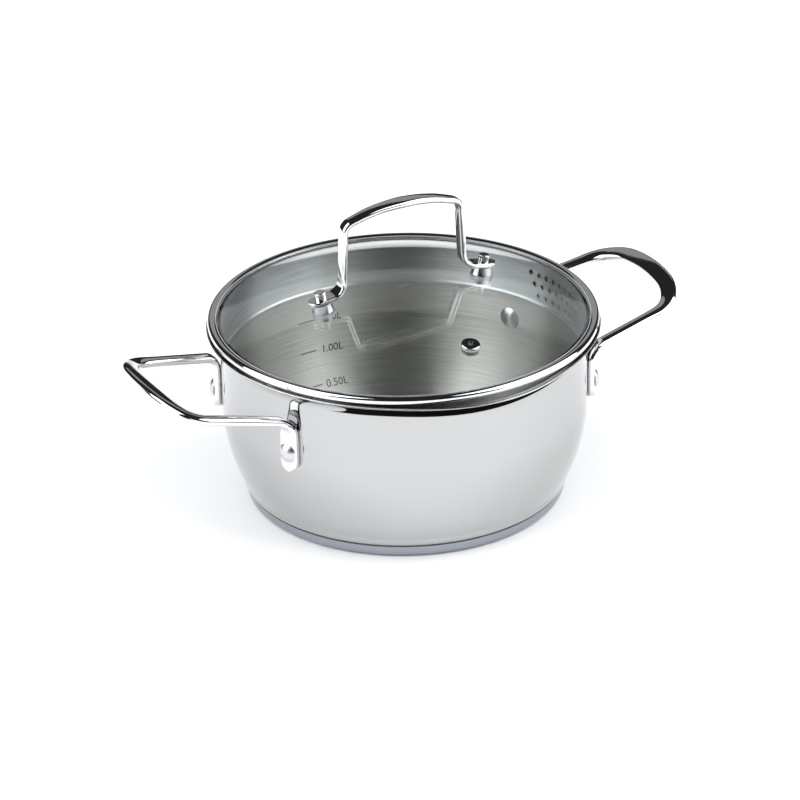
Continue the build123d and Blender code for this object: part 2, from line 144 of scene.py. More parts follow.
# ---- materials ----
def new_material(name):
    """Material with a Principled shader; returns material, nodes, links and the shader."""
    material = bpy.data.materials.new(name)
    material.use_nodes = True
    nodes = material.node_tree.nodes
    shader = next(node for node in nodes if node.type == "BSDF_PRINCIPLED")
    return material, nodes, material.node_tree.links, shader


def math_node(nodes, links, operation, first, second=None):
    """Math node whose inputs are numbers or sockets."""
    node = nodes.new("ShaderNodeMath")
    node.operation = operation
    for socket, value in zip(node.inputs, (first, second)):
        if value is None:
            continue
        if isinstance(value, (int, float)):
            socket.default_value = value
        else:
            links.new(value, socket)
    return node.outputs[0]


NOT_NOUGHT = 1e-7                   # keeps the coordinates on the axis from dividing by nothing


def round_coordinates(nodes, links, around, across):
    """Coordinates for lines that run round the Z axis: slow along the circle, fast across it."""
    place = nodes.new("ShaderNodeTexCoord")
    parts = nodes.new("ShaderNodeSeparateXYZ")
    links.new(place.outputs["Object"], parts.inputs[0])
    x, y, z = parts.outputs
    squares = math_node(nodes, links, "ADD", math_node(nodes, links, "MULTIPLY", x, x),
                        math_node(nodes, links, "MULTIPLY", y, y))
    radius = math_node(nodes, links, "SQRT", math_node(nodes, links, "ADD", squares, NOT_NOUGHT))
    joined = nodes.new("ShaderNodeCombineXYZ")
    for value, socket in zip((x, y), joined.inputs):
        on_circle = math_node(nodes, links, "DIVIDE", value, radius)
        links.new(math_node(nodes, links, "MULTIPLY", on_circle, around), socket)
    height = math_node(nodes, links, "ADD", z, radius)
    links.new(math_node(nodes, links, "MULTIPLY", height, across), joined.inputs[2])
    return joined.outputs[0]


def noise(nodes, links, vector, scale, detail, roughness=0.5):
    """Noise texture's factor output."""
    texture = nodes.new("ShaderNodeTexNoise")
    texture.inputs["Scale"].default_value = scale
    texture.inputs["Detail"].default_value = detail
    texture.inputs["Roughness"].default_value = roughness
    links.new(vector, texture.inputs["Vector"])
    return texture.outputs["Fac"]


def spread(nodes, links, value, low, high):
    """Maps 0..1 to low..high."""
    node = nodes.new("ShaderNodeMapRange")
    node.inputs["To Min"].default_value = low
    node.inputs["To Max"].default_value = high
    links.new(value, node.inputs["Value"])
    return node.outputs[0]


def bump(nodes, links, shader, height, distance):
    """Adds a bump of that distance in metres to the shader."""
    node = nodes.new("ShaderNodeBump")
    node.inputs["Distance"].default_value = distance
    node.inputs["Strength"].default_value = 1
    links.new(height, node.inputs["Height"])
    links.new(node.outputs[0], shader.inputs["Normal"])


def two_tone(nodes, links, shader, first, second, factor):
    """Base colour between two tints."""
    colour = nodes.new("ShaderNodeMix")
    colour.data_type = "RGBA"
    colour.inputs["A"].default_value = (*first, 1)
    colour.inputs["B"].default_value = (*second, 1)
    links.new(factor, colour.inputs["Factor"])
    links.new(colour.outputs["Result"], shader.inputs["Base Color"])


def brushed_round(nodes, links, shader, amount):
    """Stretches highlights across lines brushed round the Z axis."""
    shader.inputs["Anisotropic"].default_value = amount
    shader.inputs["Anisotropic Rotation"].default_value = 0.25
    tangent = nodes.new("ShaderNodeTangent")
    tangent.direction_type = "RADIAL"
    tangent.axis = "Z"
    links.new(tangent.outputs[0], shader.inputs["Tangent"])


def polished_steel(name, tint=(0.80, 0.80, 0.81), rough=(0.035, 0.075)):
    """Buffed stainless steel: near mirror, with faint clouding and buffing waviness."""
    material, nodes, links, shader = new_material(name)
    shader.inputs["Base Color"].default_value = (*tint, 1)
    shader.inputs["Metallic"].default_value = 1
    place = nodes.new("ShaderNodeTexCoord").outputs["Object"]
    cloud = noise(nodes, links, place, scale=45, detail=3)
    links.new(spread(nodes, links, cloud, *rough), shader.inputs["Roughness"])
    bump(nodes, links, shader, noise(nodes, links, place, scale=90, detail=2), distance=0.00002)
    return material


def mirror_wall(name):
    """Outside of the pot: mirror polish with very faint lines round the wall."""
    material, nodes, links, shader = new_material(name)
    shader.inputs["Base Color"].default_value = (0.51, 0.51, 0.51, 1)
    shader.inputs["Metallic"].default_value = 1
    vector = round_coordinates(nodes, links, around=2.0, across=900)
    lines = noise(nodes, links, vector, scale=1.0, detail=3)
    links.new(spread(nodes, links, lines, low=0.045, high=0.10), shader.inputs["Roughness"])
    bump(nodes, links, shader, lines, distance=0.0000022)
    return material


FINE_SHARE = 0.75                   # of the brushing; coarser streaks are the rest
STREAK_DARK = 0.66
STREAK_BRIGHT = 1.22


def satin_inside(name, tint=(0.63, 0.625, 0.595), rough=(0.32, 0.42)):
    """Inside of the pot: brushed round the axis, so highlights stretch up the wall."""
    material, nodes, links, shader = new_material(name)
    shader.inputs["Metallic"].default_value = 1
    brushed_round(nodes, links, shader, amount=1.0)
    fine_vector = round_coordinates(nodes, links, around=2.2, across=2600)
    fine = noise(nodes, links, fine_vector, scale=1.0, detail=4, roughness=0.65)
    coarse_vector = round_coordinates(nodes, links, around=4.0, across=1300)
    coarse = noise(nodes, links, coarse_vector, scale=1.0, detail=3, roughness=0.6)
    both = math_node(nodes, links, "ADD", math_node(nodes, links, "MULTIPLY", fine, FINE_SHARE),
                     math_node(nodes, links, "MULTIPLY", coarse, 1 - FINE_SHARE))
    links.new(spread(nodes, links, both, *rough), shader.inputs["Roughness"])
    dark = [part * STREAK_DARK for part in tint]
    bright = [min(part * STREAK_BRIGHT, 1) for part in tint]
    two_tone(nodes, links, shader, dark, bright, spread(nodes, links, both, low=-0.5, high=1.5))
    bump(nodes, links, shader, both, distance=0.000006)
    return material


def brushed_cap(name, tint=(0.36, 0.38, 0.42)):
    """Base cap: fine turning lines round the edge and in rings underneath; the default tint is darker and
    bluer than the pot's steel, as painted shade for the shaded floor it reflects low down.
    """
    material, nodes, links, shader = new_material(name)
    shader.inputs["Base Color"].default_value = (*tint, 1)
    shader.inputs["Metallic"].default_value = 1
    brushed_round(nodes, links, shader, amount=0.6)
    vector = round_coordinates(nodes, links, around=1.2, across=2200)
    lines = noise(nodes, links, vector, scale=1.0, detail=4, roughness=0.6)
    links.new(spread(nodes, links, lines, low=0.16, high=0.30), shader.inputs["Roughness"])
    bump(nodes, links, shader, lines, distance=0.00002)
    return material


def clear_glass(name):
    """Tempered glass: clear, with the faintest unevenness; lets lamp light straight through."""
    material, nodes, links, shader = new_material(name)
    shader.inputs["Base Color"].default_value = (0.975, 0.99, 0.985, 1)
    shader.inputs["Roughness"].default_value = 0.0
    shader.inputs["IOR"].default_value = 1.5
    shader.inputs["Transmission Weight"].default_value = 1
    place = nodes.new("ShaderNodeTexCoord").outputs["Object"]
    bump(nodes, links, shader, noise(nodes, links, place, scale=14, detail=1), distance=0.00004)
    output = next(node for node in nodes if node.type == "OUTPUT_MATERIAL")
    paths = nodes.new("ShaderNodeLightPath")
    clear = nodes.new("ShaderNodeBsdfTransparent")
    clear.inputs[0].default_value = (0.93, 0.95, 0.945, 1)
    mix = nodes.new("ShaderNodeMixShader")
    links.new(paths.outputs["Is Shadow Ray"], mix.inputs[0])
    links.new(shader.outputs[0], mix.inputs[1])
    links.new(clear.outputs[0], mix.inputs[2])
    links.new(mix.outputs[0], output.inputs["Surface"])
    return material


def soft_silicone(name):
    """Translucent grey silicone with a fine moulded grain."""
    material, nodes, links, shader = new_material(name)
    place = nodes.new("ShaderNodeTexCoord").outputs["Object"]
    cloud = noise(nodes, links, place, scale=60, detail=2)
    two_tone(nodes, links, shader, (0.30, 0.31, 0.31), (0.42, 0.43, 0.43), cloud)
    shader.inputs["Roughness"].default_value = 0.45
    bump(nodes, links, shader, noise(nodes, links, place, scale=900, detail=2), distance=0.00003)
    return material


def etched_mark(name):
    """Etched marks: dull dark grey, slightly broken up by the brushing under them."""
    material, nodes, links, shader = new_material(name)
    place = nodes.new("ShaderNodeTexCoord").outputs["Object"]
    grain = noise(nodes, links, place, scale=700, detail=2)
    two_tone(nodes, links, shader, (0.035, 0.035, 0.035), (0.10, 0.10, 0.095), grain)
    shader.inputs["Metallic"].default_value = 0.3
    shader.inputs["Roughness"].default_value = 0.6
    return material


wall_steel = mirror_wall("pot_wall_steel")
inside_steel = satin_inside("pot_inside_steel")
bright_steel = polished_steel("bright_steel")
handle_steel = polished_steel("handle_steel", tint=(0.78, 0.78, 0.79), rough=(0.05, 0.10))
band_steel = satin_inside("band_steel", tint=(0.80, 0.82, 0.84), rough=(0.30, 0.38))
# the cap's dark blue-grey tint is painted shade
cap_steel_painted_shade = brushed_cap("cap_steel_painted_shade")
lid_clear = clear_glass("lid_clear_glass")
silicone = soft_silicone("grey_silicone")
# dark grey of the etched marks; the ring where the cap meets the body uses it too, as painted shade
marks_and_seam_shade = etched_mark("etched_marks_and_seam_shade")


# ---- pot body ----
def belly_reach(height, inset):
    """Radius of the belly at this height, inset from the outside."""
    centre = POT_RADIUS - BELLY_RADIUS
    return centre + math.sqrt((BELLY_RADIUS - inset) ** 2 - (BELLY_TOP - height) ** 2)


def wall_outline(inset):
    """Points (radius, height, spout share) up one side of the wall, from the floor's middle to the lip."""
    floor = pot_low.z + inset
    corner_top = pot_low.z + FLOOR_CORNER + CORNER_RISE
    corner_reach = belly_reach(corner_top, inset)
    points = [(reach, floor, 0) for reach in (*FLOOR_RINGS, corner_reach - FLOOR_CORNER)]
    for step in range(1, CORNER_STEPS):
        turn = math.radians(90 * step / CORNER_STEPS)
        across = corner_reach - FLOOR_CORNER * (1 - math.sin(turn))
        points.append((across, corner_top - (corner_top - floor) * math.cos(turn), 0))
    for step in range(BELLY_STEPS + 1):
        height = corner_top + (BELLY_TOP - corner_top) * step / BELLY_STEPS
        points.append((belly_reach(height, inset), height, 0))
    for step in range(1, WALL_STEPS + 1):
        points.append((POT_RADIUS - inset, BELLY_TOP + (SPOUT_START - BELLY_TOP) * step / WALL_STEPS, 0))
    for step in range(1, NECK_STEPS + 1):
        share = step / NECK_STEPS
        height = SPOUT_START + (FLARE_START - SPOUT_START) * share
        points.append((POT_RADIUS - inset, height, FLARE_SHARE * share * share))
    bend = FLARE_RADIUS + inset
    centre = POT_RADIUS + FLARE_RADIUS
    for step in range(1, FLARE_STEPS + 1):
        lean = FLARE_ANGLE * step / FLARE_STEPS
        turn = math.radians(lean)
        share = FLARE_SHARE + FLARE_GAIN * lean / FLARE_ANGLE
        points.append((centre - bend * math.cos(turn), FLARE_START + bend * math.sin(turn), share))
    out = Vector((math.sin(math.radians(FLARE_ANGLE)), math.cos(math.radians(FLARE_ANGLE))))
    start = Vector(points[-1][:2])
    lip_run = LIP_LENGTH - LIP_CUT
    share = FLARE_SHARE + FLARE_GAIN
    for step in range(1, LIP_STEPS + 1):
        along = start + out * lip_run * step / LIP_STEPS
        points.append((along.x, along.y, share + (1 - share) * step / LIP_STEPS))
    return points


def swell(angle):
    """Share of the spout's reach at this angle; the spouts point along Y."""
    off_spout = abs((math.degrees(angle)) % 180 - 90)
    return math.cos(math.pi / 2 * min(off_spout / SPOUT_HALF_ANGLE, 1)) ** 2


def build_pot():
    """Drawn shell with its two surfaces, joined by a round lip."""
    outside = wall_outline(0)
    inside = wall_outline(WALL)
    low, high = Vector(outside[-1][:2]), Vector(inside[-1][:2])
    middle = (low + high) / 2
    half = (high - low) / 2
    out = Vector((half.y, -half.x))
    lip = []
    for step in range(1, EDGE_STEPS):
        turn = math.pi * step / EDGE_STEPS
        point = middle - half * math.cos(turn) + out * math.sin(turn)
        lip.append((point.x, point.y, 1.0))
    points = outside + lip + inside[::-1]
    inner_start = len(outside) + len(lip) + LIP_STEPS

    def reach(index, angle):
        radius, _, share = points[index]
        return radius + SPOUT_REACH * share * swell(angle)

    def material(index):
        return 1 if inner_start <= index < len(points) - 1 else 0

    bm = bmesh.new()
    lathe(bm, [point[:2] for point in points], reach=reach, material=material)
    piece = make_object("pot_shell", bm, [wall_steel, inside_steel], SOFT_EDGES)
    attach(piece, POT)
    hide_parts("pot_body")


build_pot()


# ---- straps: a rounded bar along a bent path, with round flat ends ----
STRAP_CROWN = 0.24                  # share of the depth lost at the edges of a strap's domed faces
CROWN_START = 16.0                  # the ends stay flat for their rivets or screws
CROWN_RUN = 14.0
STRAP_SPACING = 0.9                 # distance between a strap's sections
STRAP_ROUNDING = 0.4                # corner radius of a section, as a share of its depth
NARROW_ROUNDING = 0.49              # the same as a share of the width, where a strap is narrow
SECTION_SHARES = (0.04, 0.2, 0.4, 0.6, 0.8, 0.96)   # points across a section's faces
CORNER_POINTS = 7                   # points round each of its corners
TIP_STEPS = 8                       # sections round a strap's end
TIP_SHARE = 0.02                    # squared share of the width left at the very tip
STRAP_SHARP = 50


def bent_path(corners, bends):
    """Even points along straight runs joined by arcs; bends are the arcs' radii, one per inner corner."""
    corners = [Vector(corner) for corner in corners]
    points = [corners[0]]
    for before, here, after, bend in zip(corners, corners[1:], corners[2:], bends):
        back = (before - here).normalized()
        onward = (after - here).normalized()
        half = back.angle(onward) / 2
        trim = bend / math.tan(half)
        centre = here + (back + onward).normalized() * bend / math.sin(half)
        start = here + back * trim - centre
        turn_axis = start.cross(here + onward * trim - centre).normalized()
        sweep = math.pi - 2 * half
        steps = max(2, round(bend * sweep / STRAP_SPACING))
        for step in range(steps + 1):
            turned = start.copy()
            turned.rotate(Matrix.Rotation(sweep * step / steps, 3, turn_axis))
            points.append(centre + turned)
    points.append(corners[-1])
    return even_points(points)


def even_points(points):
    """The same line with evenly spaced points."""
    lengths = [0.0]
    for start, end in zip(points, points[1:]):
        lengths.append(lengths[-1] + (end - start).length)
    count = round(lengths[-1] / STRAP_SPACING)
    even, leg = [], 0
    for index in range(count + 1):
        wanted = lengths[-1] * index / count
        while leg < len(points) - 2 and lengths[leg + 1] < wanted:
            leg += 1
        share = (wanted - lengths[leg]) / (lengths[leg + 1] - lengths[leg])
        even.append(points[leg].lerp(points[leg + 1], min(share, 1)))
    return even


def smooth_step(share):
    """Eases from 0 to 1."""
    share = min(max(share, 0), 1)
    return share * share * (3 - 2 * share)


def eased(value, keys):
    """Result at value, eased between (value, result) keys."""
    for (start, first), (end, last) in zip(keys, keys[1:]):
        if value <= end:
            return first + (last - first) * smooth_step((value - start) / (end - start))
    return keys[-1][1]


def bar_section(width, depth, crown):
    """Rounded rectangle with slightly domed wide faces; the crown is the share lost at their edges."""
    corner = min(depth * STRAP_ROUNDING, width * NARROW_ROUNDING)
    across, up = width / 2 - corner, depth / 2 - corner
    points = []
    for turn, (x, y) in enumerate(((across, up), (-across, up), (-across, -up), (across, -up))):
        for step in range(CORNER_POINTS):
            angle = math.radians(90 * turn + 90 * step / (CORNER_POINTS - 1))
            points.append((x + corner * math.cos(angle), y + corner * math.sin(angle)))
    held = []
    for index, (x, y) in enumerate(points):
        held.append((x, y))
        if index % CORNER_POINTS == CORNER_POINTS - 1:
            following = points[(index + 1) % len(points)]
            for share in SECTION_SHARES:
                held.append((x + (following[0] - x) * share, y + (following[1] - y) * share))
    return [(x, y * (1 - crown * (2 * x / width) ** 2)) for x, y in held]


def build_strap(name, corners, bends, widths, depths, across_at, end_radius):
    """Bar along the path; widths and depths are keyed by the distance from either end in millimetres."""
    path = bent_path(corners, bends)
    run = sum((end - start).length for start, end in zip(path, path[1:]))
    step_length = run / (len(path) - 1)
    tips = [end_radius * (1 - math.cos(math.radians(90 * step / TIP_STEPS))) for step in range(TIP_STEPS)]
    stations = tips + [index * step_length for index in range(len(path))
                       if end_radius < index * step_length < run - end_radius]
    stations += [run - tip for tip in reversed(tips)]
    bm = bmesh.new()
    rings = []
    for distance in stations:
        place = distance / step_length
        index = min(int(place), len(path) - 2)
        point = path[index].lerp(path[index + 1], place - index)
        before, after = path[max(index - 1, 0)], path[min(index + 2, len(path) - 1)]
        along = (after - before).normalized()
        from_end = min(distance, run - distance)
        across = across_at(point, along, from_end, distance < run / 2)
        across = (across - along * across.dot(along)).normalized()
        up = along.cross(across)
        width, depth = eased(from_end, widths), eased(from_end, depths)
        if from_end < end_radius:
            away = end_radius - from_end
            width *= math.sqrt(max(1 - (away / end_radius) ** 2, TIP_SHARE))
        crown = STRAP_CROWN * smooth_step((from_end - CROWN_START) / CROWN_RUN)
        section = bar_section(width, depth, crown)
        ring = [bm.verts.new(point + across * x + up * y) for x, y in section]
        rings.append(ring)
    for first, second in zip(rings, rings[1:]):
        for index in range(len(first)):
            onward = (index + 1) % len(first)
            bm.faces.new((first[index], first[onward], second[onward], second[index]))
    bm.faces.new(rings[0])
    bm.faces.new(rings[-1])
    return make_object(name, bm, [handle_steel], STRAP_SHARP)


# ---- side handles ----
TAB_ANGLE = 26.0
TAB_GAP = 0.05
TAB_THICKNESS = 4.2
TAB_BOTTOM = 50.8
ARM_ROOT = 79.8
GRIP_CORNERS = ((144.6, 39.5, 91.0), (153.4, 25.4, 95.9))
GRIP_MIDDLE = (156.4, 0, 98.3)
LOOP_TILT = math.radians(22.0)       # the grip's flat faces lean up outwards
LOOP_NORMAL = Vector((-math.sin(LOOP_TILT), 0, math.cos(LOOP_TILT)))
TWIST_START = 22.0                  # the strap turns from the wall into the loop after this length
TWIST_RUN = 14.0
TAB_END = 5.45                      # radius of the tab's round end
SIDE_BENDS = (8, 18, 33, 110, 33, 18, 8)
SIDE_WIDTHS = ((0, 11.0), (20, 11.0), (33, 7.8), (62, 7.8), (84, 9.4), (112, 10.0))
SIDE_DEPTHS = ((0, 4.2), (21, 4.2), (34, 4.9), (66, 4.9), (112, 4.6))


def side_across(point, along, from_end, first_half):
    """Across the strap: along the wall at the tabs, in the leaning loop on the arms and grip."""
    turn = math.radians(TAB_ANGLE if point.y > 0 else -TAB_ANGLE)
    at_tab = Vector((-math.sin(turn), math.cos(turn), 0)) * (1 if first_half else -1)
    turned = smooth_step((from_end - TWIST_START) / TWIST_RUN)
    if turned == 0:
        return at_tab
    return at_tab * (1 - turned) + LOOP_NORMAL.cross(along).normalized() * turned


def build_side_handles():
    """Both loop handles, each with its two riveted tabs."""
    reach = POT_RADIUS + TAB_GAP + TAB_THICKNESS / 2
    tab = (reach * math.cos(math.radians(TAB_ANGLE)), reach * math.sin(math.radians(TAB_ANGLE)))
    half = [(*tab, TAB_BOTTOM), (*tab, ARM_ROOT), *GRIP_CORNERS]
    corners = [*half, GRIP_MIDDLE, *[(x, -y, z) for x, y, z in reversed(half)]]
    for side, node in ((1, "right_side_handle"), (-1, "left_side_handle")):
        handle = build_strap(node.replace("side_handle", "loop_handle"), corners, SIDE_BENDS,
                             SIDE_WIDTHS, SIDE_DEPTHS, side_across, TAB_END)
        if side < 0:
            handle.data.transform(Matrix.Rotation(math.pi, 4, "Z"))
        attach(handle, POT)
        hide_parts(node)


build_side_handles()


# ---- base: pressed cap with a fine groove near its edge ----
CAP_SHEET = 0.6
CAP_CORNER = 3.0
CAP_EDGE = 0.3                      # round upper edge of the cap
HELD_FLAT = 0.05                    # a point this far below it keeps the side's shading straight
CAP_SHARP = 35
CAP_UNDERSIDE = ((0, 0.25), (14, 0.25), (14.4, 0), (80, 0), (80.4, 0.22), (81.2, 0.22), (81.6, 0))
SEAM_INSIDE = 0.4                   # the seam's back, inside the cap's edge
SEAM_OUTLINE = ((-SEAM_INSIDE, -0.8), (0.1, -0.8), (0.3, -0.6), (0.36, -0.1), (0.3, 0.1), (-SEAM_INSIDE, 0.1))


def build_base_cap():
    """Shallow steel cup over the aluminium disc, its underside with a shallow middle and a turned groove."""
    radius, top, sheet, corner = cap_radius, cap_high, CAP_SHEET, CAP_CORNER
    outline = list(CAP_UNDERSIDE) + arc((radius - corner, corner), corner, -90, 0, 10)
    outline.append((radius, top - CAP_EDGE - HELD_FLAT))
    outline += arc((radius - CAP_EDGE, top - CAP_EDGE), CAP_EDGE, 0, 90, 4)
    outline += [(radius - sheet, top), (radius - sheet, corner), (radius - corner, sheet), (0, sheet)]
    bm = bmesh.new()
    lathe(bm, outline)
    piece = make_object("base_cup", bm, [cap_steel_painted_shade], CAP_SHARP)
    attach(piece, POT)
    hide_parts("base_cap")


build_base_cap()


def build_seam_painted_shade():
    """Dark ring in the crevice where the cap meets the body: painted shade between the parts."""
    bm = bmesh.new()
    lathe(bm, [(cap_radius + out, cap_high + up) for out, up in SEAM_OUTLINE])
    piece = make_object("seam_painted_shade", bm, [marks_and_seam_shade], SOFT_EDGES)
    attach(piece, POT)


build_seam_painted_shade()

# ---- lid ring: rolled channel with a crowned top ----
RING_SHEET = 0.6
RING_NOSE = 2.2
RING_LIP = 102.0
RING_SHARP = 40
NOSE_TURN = 60                      # the nose's arc ends at this angle and runs into the crown
CROWN_STEPS = 14
CROWN_END = 0.3                     # the crown ends this far outside the lip
CROWN_PEAK = 0.08                   # and is highest this far outside the nose's centre
OUTER_FALL = 0.283                  # fall for each squared millimetre from the peak
INNER_FALL = 0.12
LIP_OUTLINE = ((0.05, -1.08), (0.0, -1.15), (0.1, -1.2), (1.5, -1.15))   # from the lip and the ring's top


def build_ring():
    """Rolled steel ring round the glass."""
    low, high, reach = ring_low.z, ring_high.z, ring_high.x
    nose = reach - RING_NOSE
    inner = RING_NOSE - RING_SHEET
    outline = arc((nose, low + RING_NOSE), RING_NOSE, -90, 0, 8)
    outline += arc((nose, high - RING_NOSE), RING_NOSE, 0, NOSE_TURN, 8)
    crown_start = nose + RING_NOSE * math.cos(math.radians(NOSE_TURN))
    peak = nose + CROWN_PEAK
    for step in range(1, CROWN_STEPS + 1):
        across = crown_start + (RING_LIP + CROWN_END - crown_start) * step / CROWN_STEPS
        fall = OUTER_FALL if across > peak else INNER_FALL
        outline.append((across, high - fall * (across - peak) ** 2))
    outline += [(RING_LIP + out, high + up) for out, up in LIP_OUTLINE]
    outline += arc((nose, high - RING_NOSE), inner, 90, 0, 5)
    outline += arc((nose, low + RING_NOSE), inner, 0, -90, 5)
    outline += [(band_high.x, low + RING_SHEET), (band_high.x, low)]
    bm = bmesh.new()
    lathe(bm, outline)
    piece = make_object("rolled_ring", bm, [bright_steel], RING_SHARP)
    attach(piece, LID)
    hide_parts("lid_rim_ring")


build_ring()

# ---- lid handle ----
FOOT_OFFSET = 48.7
FOOT_REACH = 7.5
FOOT_BACK = 13.0
SPACER_HEIGHT = 4.6
FOOT_THICKNESS = 2.6
FOOT_END = 5.0                      # radius of the foot's round end
LID_CORNERS = ((35.2, 0, 164.0), (18.0, 0, 169.2))
LID_TOP = (0, 0, 170.6)
LID_BENDS = (8, 6, 80, 110, 80, 6, 8)
LID_WIDTHS = ((0, 9.8), (14, 10.0), (28, 7.6), (58, 7.6), (74, 8.8), (98, 10.4))
LID_DEPTHS = ((0, 2.6), (16, 2.6), (28, 3.7), (58, 3.9), (98, 4.3))
DOME_EDGE = 101.4
SEAL_SHEET = 0.5
FIT_GAP = 0.06
rim_top = ring_high.z - RING_SHEET - SEAL_SHEET - 2 * FIT_GAP
dome_rise = glass_high.z - rim_top
dome_radius = (DOME_EDGE ** 2 + dome_rise ** 2) / (2 * dome_rise)
dome_centre = Vector((0, 0, glass_high.z - dome_radius))


def over_glass(outwards, height):
    """Point above the glass by a foot: outwards from its screw along the glass, and off it."""
    tilt = math.asin(FOOT_OFFSET / dome_radius)
    normal = Vector((math.sin(tilt), 0, math.cos(tilt)))
    slope = Vector((math.cos(tilt), 0, -math.sin(tilt)))
    return dome_centre + normal * (dome_radius + height) + slope * outwards


def build_lid_handle():
    """Arched strap with a round-ended foot at each side."""
    height = SPACER_HEIGHT + FOOT_THICKNESS / 2
    half = [tuple(over_glass(FOOT_REACH, height)), tuple(over_glass(-FOOT_BACK, height)), *LID_CORNERS]
    corners = [*half, LID_TOP, *[(-x, y, z) for x, y, z in reversed(half)]]
    handle = build_strap("arched_lid_handle", corners, LID_BENDS, LID_WIDTHS, LID_DEPTHS,
                         lambda point, along, from_end, first_half: Vector((0, 1, 0)), FOOT_END)
    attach(handle, LID)
    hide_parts("lid_handle")


build_lid_handle()

# ---- litre marks etched inside the pot, near the back spout ----
MARK_HEIGHTS = (("0.50L", 21.3), ("1.00L", 41.0), ("1.50L", 59.6))
TEXT_ANGLE = 91.4                   # where the lettering starts; it runs towards smaller angles
LINE_ANGLES = (99.4, 93.3)
LETTER_HEIGHT = 4.3
CAP_SHARE = 0.7                     # a capital's height as a share of the lettering's size
LINE_HALF = 0.25                    # half the thickness of a level line
LINE_STEPS = 8
MARK_DEPTH = 0.03


def on_inner_wall(u, v, start_angle, height):
    """Point on the inner wall, u millimetres round from the start angle and v above the height."""
    z = height + v
    radius = (belly_reach(z, WALL) if z < BELLY_TOP else POT_RADIUS - WALL) - MARK_DEPTH
    angle = math.radians(start_angle) - u / radius
    return Vector((radius * math.cos(angle), radius * math.sin(angle), z))


def wrapped(name, bm, start_angle, height):
    """Flat shapes laid on the inner wall."""
    for vertex in bm.verts:
        vertex.co = on_inner_wall(vertex.co.x, vertex.co.y, start_angle, height)
    piece = make_object(name, bm, [marks_and_seam_shade])
    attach(piece, POT)


def build_marks():
    """Litre lettering and a short level line for each mark."""
    for words, height in MARK_HEIGHTS:
        curve = bpy.data.curves.new("lettering", "FONT")
        curve.body = words
        curve.size = LETTER_HEIGHT / CAP_SHARE
        curve.resolution_u = 4
        letters = bpy.data.objects.new("lettering", curve)
        bpy.context.scene.collection.objects.link(letters)
        flat = bpy.data.meshes.new_from_object(letters)
        bm = bmesh.new()
        bm.from_mesh(flat)
        bpy.data.objects.remove(letters)
        bpy.data.meshes.remove(flat)
        label = words.replace(".", "_")
        wrapped(f"mark_lettering_{label}", bm, TEXT_ANGLE, height - LETTER_HEIGHT / 2)
        line = bmesh.new()
        length = math.radians(LINE_ANGLES[0] - LINE_ANGLES[1]) * (POT_RADIUS - WALL)
        places = [length * step / LINE_STEPS for step in range(LINE_STEPS + 1)]
        bottom = [line.verts.new((place, -LINE_HALF, 0)) for place in places]
        top = [line.verts.new((place, LINE_HALF, 0)) for place in places]
        for step in range(LINE_STEPS):
            line.faces.new((bottom[step], bottom[step + 1], top[step + 1], top[step]))
        wrapped(f"mark_line_{label}", line, LINE_ANGLES[0], height)


build_marks()


# ---- CAD nodes that stay, with their materials ----
spacer_steel = brushed_cap("spacer_steel", (0.62, 0.62, 0.63))
core_metal = brushed_cap("core_aluminium", (0.72, 0.72, 0.73))
rivet_steel = polished_steel("rivet_steel", tint=(0.66, 0.66, 0.67), rough=(0.26, 0.36))
node_materials = {"base_core": core_metal, "glass_edge_seal": silicone, "lid_glass": lid_clear,
                  "strainer_band": band_steel, "steam_vent_seal": silicone,
                  "steam_vent_eyelet": bright_steel, "steam_vent_backing_washer": bright_steel}
for side_name in ("right", "left"):
    node_materials[f"{side_name}_handle_screw"] = bright_steel
    node_materials[f"{side_name}_retaining_nut"] = bright_steel
    node_materials[f"{side_name}_foot_spacer"] = spacer_steel
    node_materials[f"{side_name}_glass_bush"] = silicone
    for place in ("front", "back"):
        node_materials[f"{side_name}_{place}_rivet"] = rivet_steel
for node, material in node_materials.items():
    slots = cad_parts[node].data.materials
    slots.clear()
    slots.append(material)


# ---- studio: white floor, softboxes at the sides, a weak one behind, dark room ----
def floor_material():
    """Matt white table with a very faint unevenness."""
    material, nodes, links, shader = new_material("white_table")
    place = nodes.new("ShaderNodeTexCoord").outputs["Object"]
    cloud = noise(nodes, links, place, scale=3, detail=2)
    two_tone(nodes, links, shader, (0.88, 0.88, 0.885), (0.90, 0.90, 0.90), cloud)
    shader.inputs["Roughness"].default_value = 0.9
    shader.inputs["Specular IOR Level"].default_value = 0.1
    return material


TABLE_RADIUS = 6000.0
TABLE_DROP = 0.2                    # the table's surface is this far under the pot


def build_floor():
    """Round table top, its surface just under the pot."""
    bm = bmesh.new()
    bmesh.ops.create_circle(bm, cap_ends=True, segments=96, radius=TABLE_RADIUS)
    table = make_object("table", bm, [floor_material()])
    table.location.z = -TABLE_DROP * MM


REFLECTION_STRIP_HEIGHT = 91.0
REFLECTION_STRIP_SPOUT_DROP = 2.2
REFLECTION_STRIP_ANGLES = (-142.0, -42.0)
REFLECTION_STRIP_STEPS = 96
REFLECTION_STRIP_GAP = 0.25                     # the painted reflection strip's inner edge off the wall
REFLECTION_STRIP_EDGES = ((0.05, 0.1), (6.3, 0.9))      # widths out from there, with shares of the spout's reach
REFLECTION_STRIP_TAPER = 4                      # it narrows over one part in this many at each end
CAMERA_AZIMUTH = -27.0
CAMERA_ELEVATION = 26.2
CAMERA_DISTANCE = 2.5
CAMERA_LENS = 204.0
CAMERA_ROLL = 1.0                   # the photograph leans this much: its right side is higher
AIM_HEIGHT = 0.057                  # the camera turns round this height
LAMP_AIM = 0.05                     # the lamps face this height
PICTURE_MIDDLE = 0.051              # height on the pot's axis at the picture's middle
PICTURE_LEFT = 0.0026               # the picture's middle is this far left of the axis


